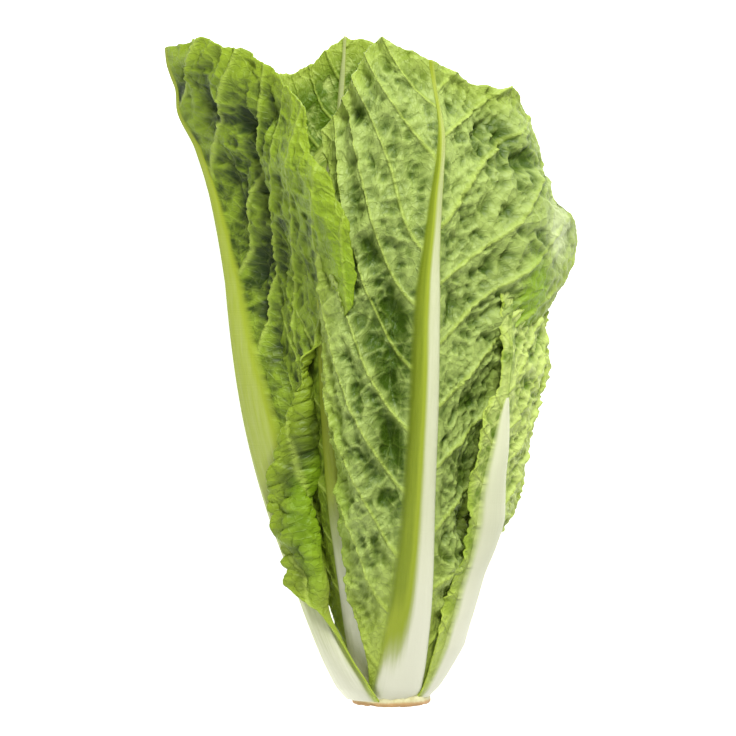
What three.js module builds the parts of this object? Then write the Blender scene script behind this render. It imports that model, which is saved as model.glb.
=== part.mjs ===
// A romaine lettuce head, lying on its side: a short cut stem and twenty-one leaves around it.
//
// Frame: millimetres, +Z up, the cut stem towards -Y and the leaf tips towards +Y. The origin is
// on the surface that the head lies on, under the middle of the whole head.
//
// Every leaf lies in its own layer of the head. A point of the head is given by its height above
// the cut (measured along Y), its turn around the head's axis and its distance from that axis, so
// leaves in different layers can overlap like roof tiles and never touch.
import * as THREE from 'three';

// ---------------------------------------------------------------- driving dimensions

const HEAD_LENGTH = 310;      // cut face to the tallest leaf tip
const STEM_RADIUS = 17;       // outside of the leaf bases at the cut
const SPREAD = 64;            // how far the leaves open from the stem to their tips
const SPREAD_LENGTH = 130;    // the length over which most of that opening happens
const SPREAD_POWER = 0.9;
const UPPER_DEPTH = 0.9;      // the upper side's depth as a share of the half-width
const REST_HEIGHT = 29;       // the axis above the surface at the cut
const AXIS_SLOPE = 0.065;     // the axis rises towards the tips, as the head is a cone on its side
const REST_POWER = 10;        // how abruptly the underside turns flat where the head lies on it

const BLADE_THICK = 1.45;
const RIB_THICK = { base: 1.6, middle: 3.0, tip: 1.7 };
const RIB_HALF_WIDTH = { base: 12, tip: 1.6 };

const RIB_COLUMNS = 0.4;      // the share of a leaf's columns of cells that its midrib takes
const LAYER_SPACING = { stem: 2.1, growth: 0.065 };   // between one level and the next
const STEM_GAP = 0.5;
const GOLDEN_TURN = 137.5;    // each leaf grows this far round the stem from the one before
const INNER_LEAVES = 15;
const MIDDLE_LEAVES = 7;      // the rest of the inner leaves make the heart
const INNER_LEVEL = { first: 3, step: 0.5 };
const INNER_START = { first: 8, step: 2.6 };
const INNER_REACH = { first: 288, step: 9 };
const INNER_TURN = 100;
const INNER_HALF_WIDTH = { first: 64, last: 19 };
const INNER_WRAP = 62;        // the most degrees that half an inner leaf goes round the head

const GREEN = { outer: 0x6f8a27, front: 0xa3b766, middle: 0xb4cb57, heart: 0xd9dc8e };
const CREAM = 0xd6cfa0;
const LEAF_ROUGHNESS = 0.5;
const STEM_ROUGHNESS = 0.75;

// The outer leaves. level: how many layers in from the outside the leaf lies. start: the height
// of its base. turn: degrees round the axis, 0 on top and 90 on the right, and left and right: the
// half-widths, all at even steps from base to tip. crown: the heights of the leaf's upper edge, at
// even steps from left to right. flare: how far the leaf stands out from its layer, about which
// turn, how narrowly, and over which heights.
const OUTER_LEAVES = [
  {
    name: 'outer_leaf_left', level: 0, start: 0.8, colour: GREEN.outer,
    turn: [-50, -60, -66, -72, -77, -82, -86, -89, -90],
    left: [13, 17, 24, 32, 40, 46, 50, 50, 44],
    right: [13, 16, 24, 43, 60, 92, 99, 88, 78],
    crown: [268, 284, 292, 297, 299, 304, 305, 297, 288],
    flare: { by: 19, about: -90, power: 4, from: 195, to: 295 },
  },
  {
    name: 'outer_leaf_right', level: 0, start: 1.6, colour: GREEN.front,
    turn: [90, 76, 62, 53, 50, 50, 54, 58, 62],
    left: [12, 16, 17, 17, 16, 12, 8, 7, 6],
    right: [12, 15, 20, 24, 30, 38, 44, 46, 36],
    crown: [230, 238, 244, 246, 244, 240, 232, 220, 205],
    flare: { by: 9, about: 95, power: 3, from: 150, to: 215 },
  },
  {
    name: 'outer_leaf_front', level: 1, start: 0.8, colour: GREEN.front,
    turn: [16, 20, 17, 15, 15, 15, 16, 18, 17],
    left: [13, 28, 38, 44, 49, 53, 56, 57, 56],
    right: [13, 20, 24, 26, 38, 56, 64, 66, 64],
    crown: [256, 268, 291, 304, 299, 298, 291, 285, 285, 277, 260],
  },
  {
    name: 'outer_leaf_back_right', level: 1, start: 1.2, colour: GREEN.outer,
    turn: [146, 150],
    left: [12, 15, 24, 36, 48, 58, 64, 62, 52],
    right: [12, 15, 24, 36, 48, 58, 64, 62, 52],
    crown: [250, 270, 282, 288, 291, 288, 280, 268, 250],
  },
  {
    name: 'outer_leaf_back', level: 2, start: 3, colour: GREEN.middle,
    turn: [-158, -166],
    left: [11, 14, 22, 34, 46, 56, 62, 62, 54],
    right: [11, 14, 22, 34, 46, 56, 62, 62, 54],
    crown: [266, 286, 298, 305, HEAD_LENGTH, 307, 294, 282, 262],
  },
  {
    name: 'outer_leaf_front_left', level: 2, start: 2.5, colour: GREEN.middle,
    turn: [-28, -24],
    left: [10, 13, 18, 26, 34, 40, 44, 42, 34],
    right: [10, 13, 18, 26, 34, 40, 44, 42, 34],
    crown: [200, 216, 228, 235, 238, 235, 228, 216, 200],
  },
];

// An inner leaf's half-widths as shares of its largest, and how far its upper edge falls below
// its reach, at even steps as above.
const INNER_OUTLINE = [0.17, 0.22, 0.36, 0.54, 0.73, 0.9, 1, 0.96, 0.78];
const INNER_CROWN = [-30, -14, -5, -1, 0, -1, -5, -14, -30];

// ---------------------------------------------------------------- the shape of the head

const degrees = THREE.MathUtils.degToRad;
const mix = THREE.MathUtils.lerp;
const ease = THREE.MathUtils.smoothstep;

// Half-width of the whole head at a height above the cut.
function headRadius(height) {
  return STEM_RADIUS + SPREAD * Math.tanh((Math.max(height, 0) / SPREAD_LENGTH) ** SPREAD_POWER);
}

function axisHeight(height) {
  return REST_HEIGHT + AXIS_SLOPE * height;
}

// Depth of the head straight above the axis, and straight below a point of its outside, where
// the round underside is pressed flat by what the head lies on.
function upperDepth(height) {
  return mix(STEM_RADIUS, headRadius(height), UPPER_DEPTH);
}

function underDepth(height, turn) {
  const free = (headRadius(height) * Math.abs(Math.cos(turn))) ** -REST_POWER;
  const resting = axisHeight(height) ** -REST_POWER;
  return (free + resting) ** (-1 / REST_POWER);
}

// Distance from the axis to the inner face of the leaves of a level.
function layerRadius(level, height) {
  const radius = headRadius(height);
  return radius - level * (LAYER_SPACING.stem + LAYER_SPACING.growth * (radius - STEM_RADIUS));
}

// The point of the head at a height, a turn in radians and a distance from the axis.
function headPoint(height, turn, distance) {
  const above = Math.cos(turn) > 0;
  const depth = above ? upperDepth(height) * Math.cos(turn) : -underDepth(height, turn);
  const share = distance / headRadius(height);
  return new THREE.Vector3(distance * Math.sin(turn), height, axisHeight(height) + share * depth);
}

// ---------------------------------------------------------------- leaves

// A value along a list of even steps, on a smooth curve through them.
function alongSteps(steps, share) {
  const curve = new THREE.SplineCurve(steps.map((value, i) => new THREE.Vector2(i, value)));
  return curve.getPoint(share).y;
}

function ribHalfWidth(leaf, share) {
  return mix(leaf.ribWidth ?? RIB_HALF_WIDTH.base, RIB_HALF_WIDTH.tip, share ** 0.7);
}

function ribThickness(share) {
  const rising = mix(RIB_THICK.base, RIB_THICK.middle, ease(share, 0, 0.14));
  return mix(rising, RIB_THICK.tip, ease(share, 0.2, 0.95));
}

function flareAt(leaf, height, turn) {
  if (!leaf.flare) return 0;
  const { by, about, power, from, to } = leaf.flare;
  const facing = Math.max(0, Math.cos(turn - degrees(about)));
  return by * ease(height, from, to) * facing ** power;
}

// One point of a leaf. across runs from -1 at the left edge to 1 at the right edge, along from
// 0 at the base to 1 at the tip, and face from 0 on the inner side to 1 on the outer side.
function leafPoint(leaf, across, along, face) {
  const side = Math.sign(across);
  const away = Math.abs(across);
  const widest = alongSteps(side < 0 ? leaf.left : leaf.right, along);
  const reach = mix(leaf.start, Math.max(...leaf.crown), along);
  const wrap = degrees(leaf.wrap ?? 180) * layerRadius(leaf.level, reach);
  const edge = Math.min(widest, wrap);
  const rib = Math.min(ribHalfWidth(leaf, along), edge * 0.8);
  const distance = away < RIB_COLUMNS
    ? (rib * away) / RIB_COLUMNS
    : mix(rib, edge, (away - RIB_COLUMNS) / (1 - RIB_COLUMNS));
  const upperEdge = alongSteps(leaf.crown, 0.5 + (0.5 * side * distance) / edge);
  const height = mix(leaf.start, upperEdge, along);

  const radius = layerRadius(leaf.level, height);
  const turn = degrees(alongSteps(leaf.turn, along)) + (side * distance) / radius;
  const overRib = Math.max(0, 1 - (distance / rib) ** 2);
  const thickness = mix(BLADE_THICK, ribThickness(along), overRib);
  return headPoint(height, turn, radius + flareAt(leaf, height, turn) + face * thickness);
}

// A leaf is a flat box of cells whose corners are moved onto the leaf's two faces.
function leafGeometry(leaf, columns, rows) {
  const geometry = new THREE.BoxGeometry(2, 1, 1, columns, rows, 1);
  const corners = geometry.getAttribute('position');
  for (let i = 0; i < corners.count; i += 1) {
    const point = leafPoint(leaf, corners.getX(i), corners.getY(i) + 0.5, corners.getZ(i) + 0.5);
    corners.setXYZ(i, point.x, point.y, point.z);
  }
  geometry.deleteAttribute('normal');
  geometry.deleteAttribute('uv');
  return geometry;
}

function leafMesh(leaf, columns, rows) {
  const skin = new THREE.MeshStandardMaterial({
    color: leaf.colour, roughness: LEAF_ROUGHNESS, metalness: 0,
  });
  const mesh = new THREE.Mesh(leafGeometry(leaf, columns, rows), skin);
  mesh.name = leaf.name;
  return mesh;
}

// The inner leaves, from the outside in. Each stands a golden turn round from the last, one layer
// further in, starts higher on the stem and is shorter.
function innerLeaf(index) {
  const inward = index / (INNER_LEAVES - 1);
  const heart = index >= MIDDLE_LEAVES;
  const widest = mix(INNER_HALF_WIDTH.first, INNER_HALF_WIDTH.last, inward);
  const turn = INNER_TURN + GOLDEN_TURN * index;
  const outline = INNER_OUTLINE.map((share) => share * widest);
  const reach = INNER_REACH.first - INNER_REACH.step * index;
  return {
    name: heart ? `heart_leaf_${index - MIDDLE_LEAVES + 1}` : `middle_leaf_${index + 1}`,
    turn: [turn, turn],
    level: INNER_LEVEL.first + INNER_LEVEL.step * index,
    wrap: INNER_WRAP,
    start: INNER_START.first + INNER_START.step * index,
    crown: INNER_CROWN.map((drop) => reach + drop),
    ribWidth: RIB_HALF_WIDTH.base * mix(0.85, 0.3, inward),
    left: outline,
    right: outline,
    colour: heart ? GREEN.heart : GREEN.middle,
  };
}

// ---------------------------------------------------------------- stem

// The stem is as thick as the leaf bases leave room for: level up to the first inner leaf, then
// drawn in as each higher leaf starts closer to the axis, to a point inside the heart.
function stemRadius(height) {
  const leavesBelow = Math.max(0, height - INNER_START.first) / INNER_START.step;
  const level = INNER_LEVEL.first + INNER_LEVEL.step * leavesBelow;
  return layerRadius(level, height) - STEM_GAP;
}

function stemMesh() {
  const steps = 10;
  const sides = 24;
  const tipHeight = 51;
  const profile = [new THREE.Vector2(0, 0)];
  for (let i = 0; i < steps; i += 1) {
    const height = (tipHeight * i) / steps;
    profile.push(new THREE.Vector2(Math.max(stemRadius(height), 1), height));
  }
  profile.push(new THREE.Vector2(0, tipHeight));
  const geometry = new THREE.LatheGeometry(profile, sides);
  const corners = geometry.getAttribute('position');
  for (let i = 0; i < corners.count; i += 1) {
    const [x, height, z] = [corners.getX(i), corners.getY(i), corners.getZ(i)];
    const point = headPoint(height, Math.atan2(x, z), Math.hypot(x, z));
    corners.setXYZ(i, point.x, point.y, point.z);
  }
  geometry.deleteAttribute('normal');
  geometry.deleteAttribute('uv');
  const flesh = new THREE.MeshStandardMaterial({
    color: CREAM, roughness: STEM_ROUGHNESS, metalness: 0,
  });
  const mesh = new THREE.Mesh(geometry, flesh);
  mesh.name = 'cut_stem';
  return mesh;
}

// ---------------------------------------------------------------- the head

const head = new THREE.Group();
head.add(stemMesh());
for (const leaf of OUTER_LEAVES) head.add(leafMesh(leaf, 10, 12));
for (let i = 0; i < INNER_LEAVES; i += 1) head.add(leafMesh(innerLeaf(i), 10, 8));

// Set the head down with the middle of its underside at the origin.
const box = new THREE.Box3().setFromObject(head);
const middle = box.getCenter(new THREE.Vector3());
head.position.set(-middle.x, -middle.y, -box.min.z);

export default head;
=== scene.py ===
"""A head of romaine lettuce lying on its side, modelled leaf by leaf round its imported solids.

The leaves are worked out in the head's own terms, in millimetres: the height above the cut, the
turn round the head's axis and the distance from that axis. head_point() puts a point into the frame.
"""

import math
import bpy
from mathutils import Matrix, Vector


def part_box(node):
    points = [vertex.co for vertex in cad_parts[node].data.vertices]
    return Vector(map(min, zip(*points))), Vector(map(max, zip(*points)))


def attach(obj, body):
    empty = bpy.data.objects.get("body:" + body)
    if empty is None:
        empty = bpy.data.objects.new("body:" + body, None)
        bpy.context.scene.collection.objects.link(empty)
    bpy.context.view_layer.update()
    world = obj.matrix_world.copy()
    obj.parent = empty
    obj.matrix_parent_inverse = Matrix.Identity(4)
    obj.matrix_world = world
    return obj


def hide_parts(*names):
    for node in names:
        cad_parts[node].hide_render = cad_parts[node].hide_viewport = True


bl_info = {
    "name": "Romaine lettuce head",
    "version": (1, 0, 0),
    "blender": (4, 5, 0),
    "location": "View3D > Sidebar > Lettuce",
    "description": "Builds the leaves, the cut stem and the table of a romaine lettuce head",
    "category": "Add Mesh",
}

import bpy
import numpy as np
from mathutils import Vector

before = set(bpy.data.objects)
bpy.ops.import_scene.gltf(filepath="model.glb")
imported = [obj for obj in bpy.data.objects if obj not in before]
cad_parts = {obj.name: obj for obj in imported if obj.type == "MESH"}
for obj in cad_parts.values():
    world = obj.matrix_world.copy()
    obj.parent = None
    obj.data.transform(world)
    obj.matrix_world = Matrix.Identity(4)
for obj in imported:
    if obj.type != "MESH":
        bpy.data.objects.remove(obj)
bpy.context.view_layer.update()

# ---------------------------------------------------------------- the head's shape, in mm

# Half the head's width is STEM_RADIUS at the cut. It grows by SPREAD, most of it in the first
# SPREAD_LENGTH.
STEM_RADIUS = 17
SPREAD = 64
SPREAD_LENGTH = 130
SPREAD_POWER = 0.9

# Above its axis the head is UPPER_DEPTH as deep as it is wide. Below, it is pressed flat, as far
# down as REST_HEIGHT at the cut and AXIS_SLOPE more for each mm of height. A larger REST_POWER
# presses it with a sharper edge.
UPPER_DEPTH = 0.9
REST_HEIGHT = 29
AXIS_SLOPE = 0.065
REST_POWER = 10

# From one layer of leaves to the next, at the cut and for each mm that the head has widened.
LAYER_SPACING = (2.1, 0.065)
GOLDEN_TURN = 137.5
INNER_LEAVES = 15
MIDDLE_LEAVES = 7

# The stem from the middle of its cut face, 0, round the rim and up to its tip inside, 1.
STEM_OUTLINE = ((0, 0), (0.3, 16), (0.36, 17.6), (0.4, 18.3), (0.46, 18.1), (0.52, 17.3),
                (0.58, 13), (0.7, 9), (0.85, 5), (1, 0))
STEM_HEIGHTS = ((0, 0.9), (0.3, 0.5), (0.36, 0.2), (0.4, 1.0), (0.46, 3.0), (0.52, 5.0),
                (0.58, 8), (0.7, 20), (0.85, 38), (1, 50))
RIM_RADIUS = 18.3
STUMP_SHIFT = 1.8

TABLE_GAP = 0.4
MM = 0.001
UV_PER_MM = 0.01


def head_axis():
    """The axis where it meets the cut face, in the frame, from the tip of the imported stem."""
    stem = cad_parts["cut_stem"].data.vertices
    tip = max(stem, key=lambda vertex: vertex.co.y).co
    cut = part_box("cut_stem")[0].y
    return np.array([tip.x, cut, tip.z - REST_HEIGHT * MM - AXIS_SLOPE * (tip.y - cut)])


AXIS = head_axis()


def head_radius(height):
    """Half the width of the whole head at a height."""
    share = (np.maximum(height, 0) / SPREAD_LENGTH) ** SPREAD_POWER
    return STEM_RADIUS + SPREAD * np.tanh(share)


def layer_radius(level, height):
    """Distance from the axis to the leaves that lie that many layers in."""
    radius = head_radius(height)
    return radius - level * (LAYER_SPACING[0] + LAYER_SPACING[1] * (radius - STEM_RADIUS))


def head_point(height, turn, distance):
    """Points in the frame, in metres. The underside is pressed flat by what the head lies on."""
    radius, axis = head_radius(height), REST_HEIGHT + AXIS_SLOPE * height
    upper = (STEM_RADIUS + UPPER_DEPTH * (radius - STEM_RADIUS)) * np.cos(turn)
    free = (radius * np.maximum(np.abs(np.cos(turn)), 0.01)) ** -REST_POWER
    under = -((free + axis ** -REST_POWER) ** (-1 / REST_POWER))
    depth = np.where(np.cos(turn) > 0, upper, under)
    place = np.stack([distance * np.sin(turn), height, axis + distance / radius * depth], -1)
    return AXIS + place * MM


# ---------------------------------------------------------------- lines and patterns


def curve(points, x):
    """A smooth line through (place, value) points, level beyond its ends."""
    places, values = np.array(points, float).T
    rises = np.diff(values) / np.diff(places)
    before, after = np.append(rises[0], rises), np.append(rises, rises[-1])
    level = before * after <= 0
    slopes = np.where(level, 0, 2 * before * after / np.where(level, 1, before + after))
    x = np.clip(x, places[0], places[-1])
    i = np.clip(np.searchsorted(places, x, side="right") - 1, 0, len(places) - 2)
    width = places[i + 1] - places[i]
    t = (x - places[i]) / width
    ends = values[i] * (2 * t**3 - 3 * t**2 + 1) + values[i + 1] * (3 * t**2 - 2 * t**3)
    return ends + width * (slopes[i] * (t**3 - 2 * t**2 + t) + slopes[i + 1] * (t**3 - t**2))


def steps(values, first, last):
    """(place, value) points at even steps."""
    return list(zip(np.linspace(first, last, len(values)), values))


def ease(x, low, high):
    """0 below low, 1 above high, and smooth between them."""
    t = np.clip((x - low) / (high - low), 0, 1)
    return t * t * (3 - 2 * t)


def waves(x, y, seed):
    """Gentle random hills from -1 to 1, about one unit across."""
    grid = np.random.default_rng(seed).uniform(-1, 1, (64, 64))
    i, j = np.floor(x).astype(int), np.floor(y).astype(int)
    u, v = x - i, y - j
    u, v = u * u * (3 - 2 * u), v * v * (3 - 2 * v)
    near = grid[i % 64, j % 64] * (1 - u) + grid[(i + 1) % 64, j % 64] * u
    far = grid[i % 64, (j + 1) % 64] * (1 - u) + grid[(i + 1) % 64, (j + 1) % 64] * u
    return near * (1 - v) + far * v


def cells(x, y, seed):
    """For random cells about one unit across: how far a point is inside its cell, and its tone."""
    grid = np.random.default_rng(seed).random((64, 64, 3))
    i, j = np.floor(x).astype(int), np.floor(y).astype(int)
    best, second, tone = np.full(x.shape, 9.0), np.full(x.shape, 9.0), np.zeros(x.shape)
    for di in (-1, 0, 1):
        for dj in (-1, 0, 1):
            seat = grid[(i + di) % 64, (j + dj) % 64]
            away = np.hypot(i + di + seat[..., 0] - x, j + dj + seat[..., 1] - y)
            nearer = away < best
            second = np.where(nearer, best, np.minimum(second, away))
            tone = np.where(nearer, seat[..., 2], tone)
            best = np.minimum(best, away)
    return second - best, tone


# ---------------------------------------------------------------- leaves

HEIGHTS = (0, 304)

# A leaf's values are in mm, and a curve is a list of (place, value) points.
#   level, start: the layers between it and the outermost, and the height of its lower end.
#   grid, tone, seed: its cells across and up, its colours in TONES, and its patterns' number.
#   turn: degrees round the axis, against the height.
#   left, right, rib: half-widths of the blade and of the midrib, against the height.
#   crown: the height of the upper edge, from the left margin, -1, to the right margin, 1.
#   rib_rise, rib_shift: how far the midrib stands out and how far its crest is moved to the left.
#   rib_green, rib_flank_green_and_shade: the share of green on the midrib, and on its left flank, which
#       is partly its own green and partly painted shade that runs on to olive.
#   veins, spacing: how steeply the side veins leave the midrib and how they bow, on the left and
#     on the right, and how far one is from the next.
#   ridge, pocket: how high the side veins stand and how deep the blade sinks between them.
#   bubble, wrinkle, wave: the height of the crumpling, of its small folds and of its broad swell.
#   calm, pocket_span: the share of the crumpling and of the pockets, away from the midrib.
#   teeth, ruffle, frill, ruffle_share: the height of the margin's teeth and of its ruffles, the
#     length of a ruffle, and the share of the ruffles against the height.
#   keel, hood: depth and width of the hollow right of the midrib, and the bend at the upper edge.
#   flare: the side it lifts off at, in degrees, how narrowly, and how far against the height.
#   sink: how far the leaf is pressed in, against the height.
#   roll: the margin on that side folds back at fold from the midrib, by turn half-circles.
#   inward: its relief stands out on the face that looks at the axis.
#   dents: pushed in by an amount at (distance from the midrib, height, half-size across,
#     half-size along, amount).
#   painted_light_and_cream: the same for painted light, a bright green as of light shining through the
#       blade, or for cream where the amount is negative.
PLAIN_LEAF = dict(
    rib_shift=((0, 0), (1, 0)), rib_green=((0, 0.1), (300, 0.6)), rib_flank_green_and_shade=0,
    veins=((0.9, 0.015), (0.9, 0.015)), pocket_span=((0, 0), (5, 1), (45, 1)),
    calm=((0, 1), (1, 1)), frill=17, ruffle_share=((0, 1), (1, 1)), keel=(0, 75), flare=None,
    sink=((0, 0), (1, 0)), roll=None, inward=False, dents=(), painted_light_and_cream=(),
)

OUTER_LEAVES = {
    "outer_leaf_left": dict(
        PLAIN_LEAF,
        level=0, start=2.8, grid=(150, 318), tone="dark", seed=11,
        turn=steps((-50, -60, -66, -72, -77, -82, -86, -89, -90), *HEIGHTS),
        left=steps((13, 20, 26, 36, 46, 50, 50, 46, 40), *HEIGHTS),
        right=((0, 14), (14, 15), (23, 14), (34, 14), (45, 18), (54, 27), (58, 30.5), (73, 32.5),
               (88, 35.5), (98, 37.5), (108, 40), (125, 44), (139, 44), (149, 46.5),
               (156, 49), (162, 53), (166, 58), (170, 66), (177, 75), (181, 83), (188, 89), (198, 92),
               (211, 94), (217, 95), (232, 92), (240, 90), (247, 85), (251, 80), (260, 80),
               (268, 79), (280, 76), (304, 73)),
        crown=steps((272, 282, 290, 295, 299, 302, 307, 302, 295, 284, 272), -1, 1),
        rib=((0, 13), (50, 14), (132, 12), (169, 7.5), (190, 5), (216, 3.2), (239, 2.4), (272, 1.4),
             (305, 0.8)),
        rib_rise=((0, 1.5), (25, 4), (130, 6), (200, 4), (260, 2), (304, 0.8)),
        veins=((0.7, 0.012), (1.7, 0.003)), spacing=40,
        ridge=1.8, pocket=5.5, bubble=1.15, wrinkle=0.3, wave=3.4, teeth=1.2, ruffle=3.5, frill=9,
        ruffle_share=((0, 1), (140, 1), (180, 0.35)),
        calm=((0, 1), (30, 1), (50, 0.6), (100, 0.5)),
        pocket_span=((0, 0), (5, 1), (34, 1), (58, 0.4), (100, 0.1)),
        keel=(15, 84), hood=9,
        flare=(-90, 4, ((195, 0), (235, 3), (256, 9), (277, 23), (291, 30), (304, 31))),
        sink=((0, -1.5), (15, 0), (40, 2.5), (60, 4), (130, 4), (200, 3), (240, 0)),
        roll=dict(side=1, radius=((0, 1.5), (40, 2.8), (60, 3.4), (115, 3.6), (150, 5)),
                  fold=((0, 9), (14, 11), (23, 10), (34, 8.5), (45, 7.5), (57, 9.5), (73, 12),
                        (88, 15), (98, 17), (108, 20.5), (125, 28), (139, 31), (149, 36),
                        (156, 40), (162, 46), (170, 64), (185, 95)),
                  turn=((0, 0.2), (30, 0.4), (46, 0.7), (56, 0.95), (122, 0.95), (140, 0.75),
                        (158, 0.4), (176, 0))),
        rib_green=((0, 0.12), (50, 0.5), (100, 0.75), (200, 0.9), (300, 1)),
        dents=((30, 240, 6, 26, 8), (12, 235, 7, 26, 6), (12, 195, 6, 22, 5), (33, 266, 7, 7, 6),
               (50, 270, 7, 7, 5), (18, 272, 6, 9, 5), (2, 285, 7, 9, 4), (24, 205, 5, 16, 5),
               (70, 250, 16, 20, -4), (22, 166, 7, 14, 5)),
        painted_light_and_cream=((80, 235, 24, 42, 0.3), (19, 72, 4, 26, 1.1), (25, 108, 5, 26, 1.1),
              (88, 190, 8, 26, 0.6)),
    ),
    "outer_leaf_front": dict(
        PLAIN_LEAF,
        level=1, start=2.8, grid=(150, 318), tone="light", seed=23,
        turn=steps((16, 14, 13.5, 13, 13.5, 14.2, 16.5, 19.5, 16), *HEIGHTS),
        left=((0, 13), (20, 16), (33, 21), (51, 30), (70, 35), (88, 38), (111, 39), (129, 43),
              (147, 47), (180, 51), (220, 53), (243, 53), (252, 59), (262, 62), (304, 62)),
        right=((0, 13), (38, 24), (76, 37), (114, 43), (150, 50), (168, 54), (172, 56), (176, 66),
               (185, 74), (196, 82), (205, 86), (213, 95), (220, 95), (227, 90), (232, 80),
               (240, 83), (246, 76), (255, 80), (304, 80)),
        crown=steps((262, 272, 290, 301, 296, 291.5, 286, 281, 281, 271, 246), -1, 1),
        rib=((0, 13), (14, 12), (52, 10), (98, 7.4), (142, 6.6), (186, 5.6), (208, 4), (230, 2.9),
             (252, 2), (275, 1.3), (304, 0.9)),
        rib_rise=((0, 1.5), (20, 4), (60, 6.5), (150, 6.5), (200, 4.5), (256, 2.2), (290, 0.8)),
        rib_shift=((0, 0), (30, -1), (55, -1.3), (120, -1.8), (180, -0.8), (250, 0)),
        rib_green=((0, 0.0), (60, 0), (130, 0.12), (190, 0.25), (240, 0.6), (300, 0.9)),
        rib_flank_green_and_shade=1.7,
        veins=((1.0, 0.019), (0.85, -0.002)), spacing=28, calm=((0, 1), (32, 1), (52, 0.6)),
        ridge=1.9, pocket=4.2, bubble=1.25, wrinkle=0.9, wave=3.2, teeth=0.5, ruffle=1.8,
        pocket_span=((0, 0), (5, 1), (30, 1), (50, 0.35)),
        hood=12,
        flare=(88, 3, ((165, 0), (185, 9), (205, 15), (222, 16), (236, 13), (260, 12), (290, 11))),
        painted_light_and_cream=((55, 190, 8, 16, 1.4), (50, 172, 7, 11, 1.0), (67, 218, 10, 14, -1.2),
              (-38, 90, 9, 45, 0.5)),
        dents=((-44, 267, 20, 3, 3), (-40, 277, 14, 6, -2), (-46, 250, 14, 12, -3),
               (-12, 170, 7, 26, 5.5), (-13, 120, 7, 30, 5.8), (26, 261, 6, 6, 6),
               (37, 258, 5, 6, 7), (45, 248, 9, 5, 7), (20, 249, 9, 4, 3), (-24, 205, 7, 9, 5),
               (-20, 173, 6, 16, 4), (-64, 150, 16, 70, 9), (34, 105, 9, 45, 3.4)),
    ),
    "outer_leaf_right": dict(
        PLAIN_LEAF,
        level=0, start=2.8, grid=(140, 300), tone="pale", seed=37,
        turn=steps((88, 70, 58, 50, 50, 52, 56), 0, 228),
        left=((0, 12), (27, 18), (37, 19), (51, 17), (69, 14), (88, 13), (106, 12.5), (120, 13),
              (133, 12), (142, 8), (150, 4), (165, 3.5), (180, 6), (215, 12)),
        right=((0, 12), (38, 16), (76, 21), (88, 26), (105, 32), (118, 37), (132, 37), (147, 38),
               (163, 43.5), (190, 45), (215, 43)),
        crown=steps((200, 206, 210, 213, 214, 214, 213, 211, 208, 203, 196), -1, 1),
        rib=((0, 12), (31, 12), (50, 10.5), (69, 9.3), (88, 8.1), (106, 6), (119, 4.8), (133, 3.2),
             (141, 1.4), (145, 0.3), (250, 0.3)),
        rib_rise=((0, 1.5), (20, 3.5), (60, 6), (114, 5), (147, 1), (250, 0.3)),
        veins=((0.9, 0.01), (0.7, 0.01)), spacing=19,
        ridge=1.0, pocket=2.4, bubble=1.0, wrinkle=0.8, wave=1.8, teeth=0.9, ruffle=3.4,
        hood=0,
        flare=(98, 3, ((28, 0), (40, -3), (60, -5.5), (75, -1), (90, 4), (130, 4), (160, 7),
                       (190, 9), (215, 8))),
        sink=((0, 0), (80, 0.5), (140, 0), (160, 1), (180, 5), (210, 8)),
        rib_green=((0, 0), (1, 0)), painted_light_and_cream=((-14, 90, 4, 60, 0.6), (30, 70, 14, 40, 0.5)),
    ),
    "outer_leaf_back_right": dict(
        PLAIN_LEAF,
        level=1, start=2, grid=(110, 240), tone="dark", seed=41,
        turn=((0, 140), (300, 148)),
        left=steps((12, 20, 32, 43, 52, 60, 64, 62, 52), 0, 291),
        right=steps((12, 15, 24, 36, 48, 58, 64, 62, 52), 0, 291),
        crown=steps((250, 270, 282, 288, 291, 288, 280, 268, 250), -1, 1),
        rib=((0, 12), (120, 9), (220, 4), (291, 1.5)),
        rib_rise=((0, 0.6), (60, 1.2), (200, 1), (290, 0.4)), spacing=24,
        ridge=0.8, pocket=1.6, bubble=0.8, wrinkle=0.3, wave=1.0, teeth=1.2, ruffle=2.5,
        hood=6, inward=True,
    ),
    "outer_leaf_back": dict(
        PLAIN_LEAF,
        level=2, start=3.5, grid=(110, 240), tone="pale", seed=53,
        turn=((0, -158), (310, -160)),
        left=steps((11, 14, 22, 34, 46, 56, 62, 62, 54), 0, 310),
        right=steps((11, 14, 22, 34, 46, 56, 62, 62, 54), 0, 310),
        crown=steps((280, 290, 297, 305, 311.5, 312.5, 306, 299, 295, 294, 290), -1, 1),
        rib=((0, 11), (120, 8), (220, 3.5), (310, 1.0)),
        rib_rise=((0, 0.6), (60, 1.2), (200, 1), (290, 0.4)), spacing=25,
        ridge=0.8, pocket=1.6, bubble=0.8, wrinkle=0.3, wave=1.2, teeth=1.0, ruffle=3,
        hood=9, inward=True,
    ),
    "outer_leaf_front_left": dict(
        PLAIN_LEAF,
        level=2.8, start=3, grid=(90, 200), tone="dark", seed=67,
        sink=((0, 0), (30, 1), (60, 3), (238, 3.5)),
        turn=((0, -31), (60, -33), (100, -35), (240, -33)),
        # Its midrib turns green from 50 mm up: partly its own colour, partly painted shade where it
        # lies deep between the outer leaves.
        rib_green=((0, 0), (50, 0), (80, 0.5), (110, 1.0), (240, 1)),
        left=steps((10, 16, 25, 32, 36, 40, 44, 42, 34), 0, 238),
        right=steps((10, 13, 18, 26, 34, 40, 44, 42, 34), 0, 238),
        crown=steps((200, 216, 228, 235, 238, 235, 228, 216, 200), -1, 1),
        rib=((0, 10), (50, 8), (80, 6), (110, 4), (140, 3), (238, 1)),
        rib_rise=((0, 0.6), (60, 1.6), (140, 1.4), (230, 0.4)), spacing=22,
        ridge=0.8, pocket=1.2, bubble=0.6, wrinkle=0.3, wave=0.8, teeth=1.0, ruffle=1.5,
        hood=4,
    ),
}


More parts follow.
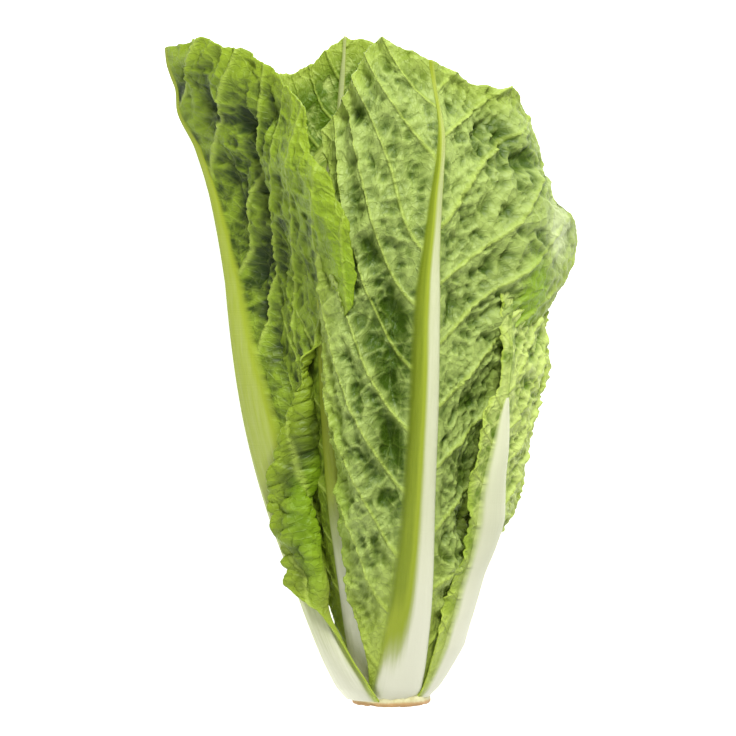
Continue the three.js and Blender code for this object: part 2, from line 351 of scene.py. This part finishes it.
def inner_leaf(index):
    """One of the leaves under the outer ones, numbered from the outside in.

    Each is a little shorter, narrower and one layer further in than the one before.
    """
    inward = index / (INNER_LEAVES - 1)
    heart = index >= MIDDLE_LEAVES
    widest = 64 + (19 - 64) * inward
    reach = 288 - 9 * index
    turn = 100 + GOLDEN_TURN * index
    outline = [widest * share for share in (0.17, 0.22, 0.36, 0.54, 0.73, 0.9, 1, 0.96, 0.78)]
    crown = [reach + drop for drop in (-30, -14, -5, -1, 0, -1, -5, -14, -30)]
    base = 12 * (0.85 + (0.3 - 0.85) * inward)
    level = 4.5 + 0.41 * index
    wrap = math.radians(62) * layer_radius(level, np.linspace(0, reach, 9))
    outline = np.minimum(outline, wrap)
    closed = 0.6 if index in (1, 2) else 0.3
    return dict(
        PLAIN_LEAF, level=level, start=8 + 2.6 * index,
        grid=(50, 110) if heart else (80, 160),
        tone="heart" if heart else "middle", seed=101 + 7 * index,
        turn=((0, turn), (300, turn)), left=steps(outline, 0, reach),
        right=steps(outline, 0, reach), crown=steps(crown, -1, 1),
        rib=((0, base), (reach * 0.5, base * 0.6), (reach, 1.5)),
        rib_rise=((0, 0.3), (reach * 0.4, 0.8), (reach, 0.3)),
        spacing=22 - 6 * inward,
        ridge=0.5, pocket=0.8, bubble=0.5, wrinkle=0.2, wave=0.6, teeth=1.0,
        ruffle=2.4 - 1.2 * inward, hood=closed * layer_radius(level, reach), inward=True,
    )


def vein_course(leaf, side):
    """How steeply the side veins leave the midrib and how they bow, on each point's side."""
    (left_slope, left_bow), (right_slope, right_bow) = leaf["veins"]
    return np.where(side < 0, left_slope, right_slope), np.where(side < 0, left_bow, right_bow)


def side_veins(leaf, gap, height, side):
    """A count along the midrib that is whole on each side vein and level along it."""
    slope, bow = vein_course(leaf, side)
    climb = slope * gap + bow * gap**2
    wander = 8 * waves(side * gap / 34, height / 36, leaf["seed"] + 1)
    return (height - climb + wander) / leaf["spacing"] + np.where(side < 0, 0.37, 0)


def spots(places, arc, height):
    """Soft spots added up, each (distance from the midrib, height, two half-sizes, amount)."""
    total = 0 * arc
    for place, level, across, tall, amount in places:
        total = total + amount * np.exp(-((arc - place) / across) ** 2 - ((height - level) / tall) ** 2)
    return total


def leaf_relief(leaf, arc, gap, height, side, phase, edge):
    """How far the surface stands out from its layer, and its crumpling alone, from which the colours
    paint shade into the hollows and dents.
    """
    seed = leaf["seed"]
    slope, bow = vein_course(leaf, side)
    off = np.abs(phase - np.round(phase))
    steep = slope + 2 * bow * gap
    width = curve(((0, 2.0), (30, 1.5), (70, 1.0)), gap)
    ridge = np.exp(-((off * leaf["spacing"] / np.hypot(1, steep) / width) ** 2))
    ridge = ridge * (0.7 + 0.5 * waves(arc / 22, height / 22, seed + 14))
    ridge = ridge * (1 - 0.6 * ease(gap, 35, 58))

    # The blade's cells lie along the side veins, as they run at mid-blade. A shift by 9 cells
    # keeps the two halves from showing the same ones.
    mean = slope + bow * 45
    along = (gap + mean * height) / np.hypot(1, mean)
    over = (height - mean * gap) / np.hypot(1, mean) + 3 * waves(arc / 13, height / 13, seed + 12)
    large, large_tone = cells(over / 17, along / 30 + 9 * side, seed + 2)
    pocket = np.sin(np.pi * off) ** 1.2 * (0.5 + 0.5 * large_tone) * ease(large, 0, 0.5)
    middle, middle_tone = cells(over / 11, along / 8 + 9 * side, seed + 3)
    small, small_tone = cells(over / 5.2, along / 3.9 + 9 * side, seed + 13)
    bubble = ease(middle, 0, 0.32) * (0.4 + 0.8 * middle_tone)
    bubble = bubble + 0.8 * ease(small, 0, 0.35) * (0.2 + small_tone)
    wrinkle = waves(over / 2.6, along / 6, seed + 4) + 0.7 * waves(arc / 2, height / 2, seed + 5)

    blade = ease(gap, 0.5, 8) * ease(height, 6, 60)
    rough = blade * curve(leaf["calm"], gap)
    span = curve(leaf["pocket_span"], gap)
    relief = leaf["ridge"] * ridge * ease(gap, 0, 4) * ease(height, 15, 60)
    relief = relief - leaf["pocket"] * pocket * span * blade
    relief = relief - (leaf["bubble"] * bubble - leaf["wrinkle"] * wrinkle) * rough
    relief = relief + leaf["wave"] * waves(arc / 23, height / 31, seed + 6) * blade
    dents = spots(leaf["dents"], arc, height)
    ruffle = waves(height / leaf["frill"] + 9 * side, side * 5.0 + 0 * height, seed + 7)
    ruffle = ruffle * curve(leaf["ruffle_share"], height) * edge**3 * ease(height, 20, 90)
    # The crumpling for the colours is low in the pockets and dents and high on the ridges, and the
    # blade is painted darker where it is low: painted shade.
    fine = 1.35 - bubble + 0.6 * wrinkle + 0.8 * ridge - 1.1 * (pocket - 0.3) * span
    return relief - dents + leaf["ruffle"] * ruffle, fine - 0.24 * dents


def fold_margin(roll, arc, height):
    """A folded margin's place across the leaf, its lift off the layer, and how far it has turned."""
    out = arc * roll["side"]
    fold, radius = curve(roll["fold"], height), curve(roll["radius"], height)
    limit = math.pi * np.clip(curve(roll["turn"], height), 0, 0.97)
    past = np.maximum(out - fold, 0)
    lean = np.minimum(past / radius, limit)
    straight = past - lean * radius
    place = np.minimum(out, fold) + radius * np.sin(lean) + straight * np.cos(lean)
    lift = radius * (1 - np.cos(lean)) + straight * np.sin(lean)
    return roll["side"] * place, lift, roll["side"] * lean


def leaf_form(leaf, u, v):
    """A leaf's points from their places on its grid, u from -1 to 1 across and v from 0 to 1 up.

    Returns the points in the frame, what the materials read, the leaf's own two directions in mm
    and how near a point is to the crest of the midrib.
    """
    widest = [max(value for _, value in leaf[side]) for side in ("left", "right")]
    split = 2 * widest[0] / sum(widest) - 1
    across = np.where(u < split, (u - split) / (split + 1), (u - split) / (1 - split))
    side, away = np.where(across < 0, -1.0, 1.0), np.abs(across)
    seed = leaf["seed"]

    # The grid is stretched to the leaf's outline, with small teeth along the edges.
    jag = 1.6 * waves(u * 13, 0 * u + 3.3, seed + 8) + 0.5 * waves(u * 45, 0 * u + 5.1, seed + 9)
    height = leaf["start"] + v * (curve(leaf["crown"], across) - leaf["start"])
    height = height + leaf["teeth"] * jag * v**14
    half = np.where(across < 0, curve(leaf["left"], height), curve(leaf["right"], height))
    notch = waves(height / 3.4, side * 3 + 8.5, seed + 10) + 0.8 * waves(
        height / 1.7, side * 3 + 4.5, seed + 11)
    half = half + leaf["teeth"] * notch * away**8 * ease(height, 25, 60)
    arc = half * across

    rib = np.minimum(curve(leaf["rib"], height), half * 0.85)
    off_rib = arc + curve(leaf["rib_shift"], height)
    gap = np.maximum(np.abs(off_rib) - rib, 0)
    edge = np.maximum(away, ease(v, 0.6, 1) * v**4)
    phase = side_veins(leaf, gap, height, side)
    relief, fine = leaf_relief(leaf, arc, gap, height, side, phase, edge)
    if leaf["inward"]:
        relief = -relief
    round_rib = np.maximum(1 - (off_rib / rib) ** 2, 0) ** 0.6
    relief = relief + curve(leaf["rib_rise"], height) * round_rib

    place, lift, lean = arc, 0 * arc, 0 * arc
    if leaf["roll"]:
        place, lift, lean = fold_margin(leaf["roll"], arc, height)
    place, lift = place - relief * np.sin(lean), lift + relief * np.cos(lean)

    # What has been worked out on a flat layer is hollowed, bent in at the top and lifted off.
    depth, width = leaf["keel"]
    lift = lift - depth * np.sin(np.pi * np.clip(place / width, 0, 1)) * ease(height, 15, 60)
    lift = lift - leaf["hood"] * ease(v, 0.8, 1.0) ** 1.5
    turn = np.radians(curve(leaf["turn"], height)) + place / layer_radius(leaf["level"], height)
    if leaf["flare"]:
        about, power, rise = leaf["flare"]
        facing = np.maximum(np.cos(turn - math.radians(about)), 0) ** power
        lift = lift + curve(rise, height) * facing
    lift = lift - curve(leaf["sink"], height) - 1.6 * (1 - ease(height, 2, 9))
    points = head_point(height, turn, layer_radius(leaf["level"], height) + lift)
    points[..., 2] = np.maximum(points[..., 2], TABLE_GAP * MM)

    # The left flank is greener, and past the green it turns olive: painted shade on the flank turned
    # from the light.
    flank_green_and_shade = leaf["rib_flank_green_and_shade"] * ease(-off_rib / rib, -0.2, 0.5) * ease(height, 5, 60)
    no_rib = ease(-rib, -0.7, -0.4)
    # relief carries the crumpling by which the materials paint shade into the blade's hollows.
    facts = dict(
        rib_green=np.maximum(flank_green_and_shade, curve(leaf["rib_green"], height)),
        rib_share=np.minimum(np.abs(off_rib) / rib + 4 * no_rib, 4),
        # glow: spots of painted light in bright green, and of cream where the amount is negative.
        painted_light_and_cream=spots(leaf["painted_light_and_cream"], arc, height), relief=fine * (1 - round_rib),
        vein_phase=phase, gap=gap, margin=edge, height=height,
    )
    return points, facts, np.stack([arc, height], -1), round_rib


def grid_piece(name, columns, rows):
    """A new flat grid of cells, and its points' places from -1 to 1."""
    for chosen in bpy.context.selected_objects:
        chosen.select_set(False)
    bpy.ops.mesh.primitive_grid_add(x_subdivisions=columns, y_subdivisions=rows, size=2)
    piece = bpy.context.object
    piece.name = piece.data.name = name
    flat = np.zeros(len(piece.data.vertices) * 3)
    piece.data.vertices.foreach_get("co", flat)
    return piece, flat.reshape(-1, 3)


def place_points(piece, points, facts, spread):
    """Moves a piece's points, and stores what its materials read."""
    mesh = piece.data
    mesh.vertices.foreach_set("co", points.ravel())
    for name, values in facts.items():
        mesh.attributes.new(name, "FLOAT", "POINT").data.foreach_set("value", values)
    corner = np.zeros(len(mesh.loops), int)
    mesh.loops.foreach_get("vertex_index", corner)
    mesh.uv_layers[0].uv.foreach_set("vector", (spread[corner] * UV_PER_MM).ravel())
    mesh.polygons.foreach_set("use_smooth", [True] * len(mesh.polygons))
    mesh.update()


def apply(piece, modifier):
    bpy.context.view_layer.objects.active = piece
    bpy.ops.object.modifier_apply(modifier=modifier.name)


THICKNESS_STEPS = 24


def build_leaf(name, leaf, look, skins):
    """One leaf, both faces and its edge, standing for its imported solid."""
    columns, rows = leaf["grid"]
    piece, flat = grid_piece(name + "_blade", columns, rows)
    points, facts, spread, round_rib = leaf_form(leaf, flat[:, 0], (flat[:, 1] + 1) / 2)
    place_points(piece, points, facts, spread)
    thick = piece.vertex_groups.new(name="thick")
    share = np.round(THICKNESS_STEPS * round_rib * ease(facts["height"], 0, 20)).astype(int)
    for step in range(THICKNESS_STEPS + 1):
        thick.add(np.nonzero(share == step)[0].tolist(), step / THICKNESS_STEPS, "REPLACE")
    wall = piece.modifiers.new("wall", "SOLIDIFY")
    wall.thickness, wall.offset = look.rib_thickness, -1
    wall.vertex_group = thick.name
    wall.thickness_vertex_group = look.blade_thickness / look.rib_thickness
    wall.material_offset = 1
    for skin in skins:
        piece.data.materials.append(skin)
    apply(piece, wall)
    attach(piece, "root")
    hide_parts(name)
    return piece


# ---------------------------------------------------------------- materials


class Number:
    """A number in a material, so that sums on it are written as expressions."""

    def __init__(self, sheet, socket):
        self.sheet, self.socket = sheet, socket

    def operate(self, operation, *others):
        values = [getattr(other, "socket", other) for other in (self, *others)]
        node = self.sheet.node("ShaderNodeMath", dict(operation=operation), dict(enumerate(values)))
        return Number(self.sheet, node.outputs[0])

    def swapped(self, operation, other):
        sockets = {0: other, 1: self.socket}
        node = self.sheet.node("ShaderNodeMath", dict(operation=operation), sockets)
        return Number(self.sheet, node.outputs[0])

    def __add__(self, other):
        return self.operate("ADD", other)

    def __sub__(self, other):
        return self.operate("SUBTRACT", other)

    def __rsub__(self, other):
        return self.swapped("SUBTRACT", other)

    def __mul__(self, other):
        return self.operate("MULTIPLY", other)

    def __pow__(self, other):
        return self.operate("POWER", other)

    __radd__, __rmul__ = __add__, __mul__

    def ease(self, low, high):
        """0 below low, 1 above high, and smooth between them."""
        settings = dict(interpolation_type="SMOOTHSTEP", clamp=True)
        node = self.sheet.node("ShaderNodeMapRange", settings, {0: self.socket, 1: low, 2: high})
        return Number(self.sheet, node.outputs[0])


class Sheet:
    """The nodes of one material."""

    def __init__(self, name):
        self.material = bpy.data.materials.new(name)
        self.material.use_nodes = True
        self.tree = self.material.node_tree
        self.surface = self.tree.nodes["Principled BSDF"]

    def node(self, kind, settings=None, sockets=None):
        """A node of any kind, its settings, and the values or links of its sockets."""
        node = self.tree.nodes.new(kind)
        for key, value in (settings or {}).items():
            setattr(node, key, value)
        for key, value in (sockets or {}).items():
            value = getattr(value, "socket", value)
            if isinstance(value, bpy.types.NodeSocket):
                self.tree.links.new(value, node.inputs[key])
            else:
                node.inputs[key].default_value = value
        return node

    def fact(self, name):
        """What place_points() stored about the surface under a name."""
        node = self.node("ShaderNodeAttribute", dict(attribute_name=name))
        return Number(self, node.outputs["Fac"])

    def spread(self, scale):
        """The leaf's own two directions, scaled."""
        uv = self.node("ShaderNodeUVMap")
        sockets = {"Vector": uv.outputs[0], "Scale": scale}
        return self.node("ShaderNodeMapping", None, sockets).outputs[0]

    def noise(self, place, scale, detail=3.0, roughness=0.55):
        sockets = dict(Vector=place, Scale=scale, Detail=detail, Roughness=roughness)
        return Number(self, self.node("ShaderNodeTexNoise", None, sockets).outputs["Fac"])

    def edges(self, place, scale):
        """Distance to the nearest wall of random cells."""
        settings = dict(feature="DISTANCE_TO_EDGE")
        node = self.node("ShaderNodeTexVoronoi", settings, dict(Vector=place, Scale=scale))
        return Number(self, node.outputs["Distance"])

    def blend(self, share, first, second):
        """One colour turning into another."""
        node = self.node("ShaderNodeMix", dict(data_type="RGBA"), {0: share, 6: first, 7: second})
        return node.outputs[2]

    def bump(self, height, distance):
        node = self.node("ShaderNodeBump", None, dict(Height=height, Distance=distance))
        return node.outputs["Normal"]

    def finish(self, **sockets):
        for key, value in sockets.items():
            name = key.replace("_", " ")
            value = getattr(value, "socket", value)
            if isinstance(value, bpy.types.NodeSocket):
                self.tree.links.new(value, self.surface.inputs[name])
            else:
                self.surface.inputs[name].default_value = value
        return self.material


def tint(red, green, blue):
    """A colour from its 0 to 255 screen values."""
    parts = [part / 255 for part in (red, green, blue)]
    linear = [p / 12.92 if p <= 0.04045 else ((p + 0.055) / 1.055) ** 2.4 for p in parts]
    return (*linear, 1.0)


# Screen colours of each kind of leaf: in its hollows, darker as painted shade, on its raised parts, and
# at its margin.
TONES = {
    "dark": (tint(38, 58, 6), tint(134, 160, 40), tint(154, 180, 42)),
    "light": (tint(62, 88, 14), tint(164, 185, 97), tint(164, 186, 72)),
    "pale": (tint(88, 118, 22), tint(194, 212, 116), tint(184, 206, 76)),
    # The middle leaves' colours are toned down as painted shade, for leaves that lie inside the head.
    "middle": (tint(112, 138, 34), tint(174, 194, 88), tint(172, 194, 68)),
    "heart": (tint(200, 210, 104), tint(230, 232, 158), tint(208, 220, 102)),
}
# Painted light: the bright green laid on the glow spots, as of light shining through a blade.
PAINTED_BACKLIGHT_GREEN = tint(128, 164, 22)
CREAM = tint(206, 220, 158)
YELLOW_GREEN = tint(176, 196, 70)
# Painted shade: the dark olive of a midrib's flank turned from the light.
OLIVE_SHADE = tint(120, 138, 26)
WHITE_FLESH = tint(240, 240, 216)


def leaf_skin(name, tone, inner, look):
    """One face of a leaf: green blade, pale veins, cream midrib."""
    sheet = Sheet(name)
    hollow_shade, raised, margin = TONES[tone]
    height, gap, painted_light_and_cream = sheet.fact("height"), sheet.fact("gap"), sheet.fact("painted_light_and_cream")
    rib_share, phase = sheet.fact("rib_share"), sheet.fact("vein_phase")
    place = sheet.spread((1, 1, 1))

    # The blade is darker in its hollows, as painted shade, and yellower low down beside the midrib.
    patches = sheet.noise(place, 9, 4)
    relief = sheet.fact("relief") * (-1 if inner else 1)
    level = (relief * 0.36 + 0.42 + (patches - 0.5) * 0.6).ease(0.0, 1.0)
    blade = sheet.blend(level, hollow_shade, raised)
    blade = sheet.blend(sheet.fact("margin").ease(0.72, 1.0) * 0.65, blade, margin)
    # Painted light: bright green on the glow spots, and cream where their amount is negative.
    blade = sheet.blend(painted_light_and_cream.ease(0, 1) * 0.8, blade, PAINTED_BACKLIGHT_GREEN)
    blade = sheet.blend((painted_light_and_cream * -1).ease(0, 1) * 0.8, blade, CREAM)

    # The side veins fade towards the margin, and two nets of finer veins lie between them.
    off_vein = ((phase + 0.5).operate("FRACT") - 0.5).operate("ABSOLUTE")
    vein = (1 - off_vein.ease(0.01, 0.08)) * (1 - gap.ease(0, 70) * 0.45)
    net = 1 - sheet.edges(sheet.spread((9, 7, 1)), 1.4).ease(0.0, 0.09)
    fine = 1 - sheet.edges(sheet.spread((26, 20, 1)), 1.7).ease(0.0, 0.12)
    lines = vein.operate("MAXIMUM", net * 0.16).operate("MAXIMUM", fine * 0.07)
    blade = sheet.blend(lines * 0.6, blade, look.vein_colour[:] + (1,))
    low = 1 - (height + gap * 1.6).ease(10, 105)
    blade = sheet.blend(low * 0.7, blade, YELLOW_GREEN)

    # The midrib is cream, greener at its sides and white near the cut, with a grain along it.
    streak = sheet.noise(sheet.spread((90, 5, 1)), 1, 3)
    bands = sheet.noise(sheet.spread((5, 120, 1)), 1, 3)
    green = sheet.fact("rib_green") + rib_share.ease(0.7, 1.05) * 0.45 + (streak - 0.5) * 0.35
    rib = sheet.blend(green.ease(-0.1, 1.1), look.rib_colour[:] + (1,), look.flank_colour[:] + (1,))
    white = (1 - height.ease(25, 110)) * (1 - green.ease(0.1, 0.6))
    rib = sheet.blend(white * 0.8, rib, WHITE_FLESH)
    # Olive where the green runs past the flank colour, mostly on a left flank: painted shade.
    rib = sheet.blend(green.ease(1.3, 1.9), rib, OLIVE_SHADE)
    on_rib = 1 - rib_share.ease(0.82, 1.12)

    grain = sheet.noise(place, 60, 4)
    swell = (vein * 0.5 + net * 0.2 + fine * 0.12 + grain * 0.35) * (1 - on_rib)
    swell = swell + (streak * 0.25 + bands * 0.12) * on_rib
    return sheet.finish(
        Base_Color=sheet.blend(on_rib, blade, rib),
        Roughness=0.46 + (patches - 0.5) * 0.25 + on_rib * 0.08,
        Normal=sheet.bump(swell, 0.0011), Specular_IOR_Level=0.26,
    )


def stem_skin(look):
    """Pale flesh, browned on the cut face and at its rim."""
    sheet = Sheet("stem_flesh")
    place = sheet.node("ShaderNodeTexCoord").outputs["Object"]
    height, ring = sheet.fact("height"), sheet.fact("ring")
    blotch = sheet.noise(place, 220, 5, 0.65)
    flesh = sheet.blend(blotch.ease(0.35, 0.7), tint(226, 222, 176), tint(206, 198, 142))
    rim = (1 - height.ease(0.8, 3.6)) * ring.ease(0.78, 0.97)
    face = 1 - height.ease(0, 0.6)
    browned = (rim * (0.55 + blotch) + face * (0.2 + 0.5 * blotch)).ease(0.15, 1)
    colour = sheet.blend(browned, flesh, look.cut_colour[:] + (1,))
    rings = (ring * 34 + blotch * 2).operate("SINE")
    return sheet.finish(
        Base_Color=colour, Roughness=0.62 + blotch * 0.2,
        Normal=sheet.bump(blotch * 0.8 + rings * 0.1, 0.0006),
    )


# ---------------------------------------------------------------- settings and operators


def colour_setting(name, description, *screen):
    return bpy.props.FloatVectorProperty(
        name=name, description=description, subtype="COLOR", size=3, min=0, max=1,
        default=tint(*screen)[:3],
    )


def length_setting(name, description, default):
    return bpy.props.FloatProperty(
        name=name, description=description, default=default, min=0, subtype="DISTANCE",
        unit="LENGTH",
    )


class LettuceLook(bpy.types.PropertyGroup):
    """Sizes and colours of the head."""

    blade_thickness: length_setting("Blade thickness", "Thickness of a leaf's blade", 0.0008)
    rib_thickness: length_setting("Rib thickness", "Thickness of a leaf at its midrib", 0.0024)
    vein_colour: colour_setting("Veins", "Colour of the side veins", 176, 198, 84)
    rib_colour: colour_setting("Midrib", "Colour of a midrib's crest", 216, 219, 184)
    flank_colour: colour_setting("Midrib flank", "Colour of a midrib's sides", 154, 170, 44)
    cut_colour: colour_setting("Cut face", "Colour of the browned cut", 190, 150, 98)


class LettuceStage(bpy.types.PropertyGroup):
    """The table, the lights and the camera."""

    table_size: length_setting("Table", "Length of a side of the table", 16.0)
    lens: bpy.props.FloatProperty(
        name="Lens", description="Focal length of the camera", default=125, min=20, unit="CAMERA")
    view_width: length_setting("View width", "Width of the view at the head", 0.3377)


class LETTUCE_OT_outer_leaves(bpy.types.Operator):
    """Build the six outer leaves"""

    bl_idname = "lettuce.outer_leaves"
    bl_label = "Outer leaves"

    def execute(self, context):
        look = context.scene.lettuce_look
        skins = {
            tone: [leaf_skin(f"{tone}_leaf_{face}", tone, face == "inside", look)
                   for face in ("outside", "inside")]
            for tone in ("dark", "light", "pale")
        }
        for name, leaf in OUTER_LEAVES.items():
            build_leaf(name, leaf, look, skins[leaf["tone"]])
        return {"FINISHED"}


class LETTUCE_OT_inner_leaves(bpy.types.Operator):
    """Build the middle leaves and the heart leaves"""

    bl_idname = "lettuce.inner_leaves"
    bl_label = "Inner leaves"

    def execute(self, context):
        look = context.scene.lettuce_look
        kinds = (("middle", 0, MIDDLE_LEAVES), ("heart", MIDDLE_LEAVES, INNER_LEAVES))
        for kind, first, last in kinds:
            skins = [leaf_skin(f"{kind}_leaf_{face}", kind, face == "inside", look)
                     for face in ("outside", "inside")]
            for index in range(first, last):
                build_leaf(f"{kind}_leaf_{index - first + 1}", inner_leaf(index), look, skins)
        return {"FINISHED"}


class LETTUCE_OT_cut_stem(bpy.types.Operator):
    """Build the short stem with its cut face"""

    bl_idname = "lettuce.cut_stem"
    bl_label = "Cut stem"

    def execute(self, context):
        piece, flat = grid_piece("cut_stem_flesh", 144, 60)
        turn, along = np.pi * flat[:, 0], (flat[:, 1] + 1) / 2
        around = np.where(flat[:, 0] > 0.999, -1.0, flat[:, 0])
        rough = waves(around * 18, along * 9, 5) + 0.6 * waves(around * 45, along * 21, 6)
        rough = rough * np.abs(np.sin(np.pi * (around + 1) / 2)) ** 0.2
        radius, height = curve(STEM_OUTLINE, along), curve(STEM_HEIGHTS, along)
        bulge = ease(along, 0.1, 0.36) * (1 - ease(along, 0.5, 0.6))
        height = np.maximum(height + 0.35 * rough * ease(along, 0.02, 0.2), 0)
        points = head_point(height, turn, radius + 0.35 * rough * bulge)
        points[:, 0] += STUMP_SHIFT * (1 - ease(height, 4, 12)) * MM
        facts = dict(height=height, ring=radius / RIM_RADIUS)
        place_points(piece, points, facts, np.stack([turn * 15, height], -1))
        bpy.ops.object.mode_set(mode="EDIT")
        bpy.ops.mesh.select_all(action="SELECT")
        bpy.ops.mesh.remove_doubles(threshold=0.00002)
        bpy.ops.mesh.normals_make_consistent(inside=False)
        bpy.ops.object.mode_set(mode="OBJECT")
        piece.data.materials.append(stem_skin(context.scene.lettuce_look))
        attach(piece, "root")
        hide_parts("cut_stem")
        return {"FINISHED"}


# The middle of the view, from the axis at the cut and above the table.
VIEW_MIDDLE = (-0.0089, 0.1563, 0.05)
# Each light's name, place from the middle of the view, size and power.
LIGHTS = (("key", (0.28, 0.95, 1.08), 0.48, 25.0), ("fill", (-0.4, -0.8, 0.7), 1.2, 5.6))


class LETTUCE_OT_stage(bpy.types.Operator):
    """Set up the table, the lights and the camera"""

    bl_idname = "lettuce.stage"
    bl_label = "Table, lights and camera"

    def execute(self, context):
        scene, stage = context.scene, context.scene.lettuce_stage
        bpy.ops.mesh.primitive_plane_add(size=stage.table_size)
        table = context.object
        table.name = "table"
        sheet = Sheet("table_paint")
        grain = sheet.noise(sheet.node("ShaderNodeTexCoord").outputs["Object"], 90, 2)
        colour = sheet.blend(grain, (0.93, 0.93, 0.93, 1), (0.96, 0.96, 0.955, 1))
        table.data.materials.append(sheet.finish(
            Base_Color=colour, Roughness=0.8, Emission_Color=(1, 1, 1, 1), Emission_Strength=0.8,
        ))

        middle = Vector((AXIS[0] + VIEW_MIDDLE[0], AXIS[1] + VIEW_MIDDLE[1], VIEW_MIDDLE[2]))
        for name, offset, size, power in LIGHTS:
            bpy.ops.object.light_add(type="AREA", location=middle + Vector(offset))
            light = context.object
            light.name, light.data.size, light.data.energy = name, size, power
            light.rotation_euler = (-Vector(offset)).to_track_quat("-Z", "Y").to_euler()
        world = bpy.data.worlds.new("studio")
        world.use_nodes = True
        sky = world.node_tree.nodes["Background"]
        sky.inputs["Color"].default_value = (1, 1, 1, 1)
        sky.inputs["Strength"].default_value = 0.26
        scene.world = world
        scene.view_settings.view_transform = "Standard"

        distance = stage.view_width * stage.lens / 36
        bpy.ops.object.camera_add(location=middle + Vector((0, 0, distance)), rotation=(0, 0, 0))
        scene.camera = context.object
        scene.camera.data.lens = stage.lens
        return {"FINISHED"}


PIECES = (
    LETTUCE_OT_outer_leaves,
    LETTUCE_OT_inner_leaves,
    LETTUCE_OT_cut_stem,
    LETTUCE_OT_stage,
)


class LETTUCE_PT_panel(bpy.types.Panel):
    """The head's pieces and its settings"""

    bl_label = "Romaine lettuce"
    bl_idname = "LETTUCE_PT_panel"
    bl_space_type = "VIEW_3D"
    bl_region_type = "UI"
    bl_category = "Lettuce"

    def draw(self, context):
        for operator in PIECES:
            self.layout.operator(operator.bl_idname)
        for settings in (context.scene.lettuce_look, context.scene.lettuce_stage):
            for name in settings.__annotations__:
                self.layout.prop(settings, name)


CLASSES = (LettuceLook, LettuceStage, *PIECES, LETTUCE_PT_panel)


def register():
    for item in CLASSES:
        bpy.utils.register_class(item)
    bpy.types.Scene.lettuce_look = bpy.props.PointerProperty(type=LettuceLook)
    bpy.types.Scene.lettuce_stage = bpy.props.PointerProperty(type=LettuceStage)


def unregister():
    del bpy.types.Scene.lettuce_look, bpy.types.Scene.lettuce_stage
    for item in reversed(CLASSES):
        bpy.utils.unregister_class(item)


def main():
    register()
    for operator in PIECES:
        module, name = operator.bl_idname.split(".")
        getattr(getattr(bpy.ops, module), name)()


if __name__ == "__main__":
    main()
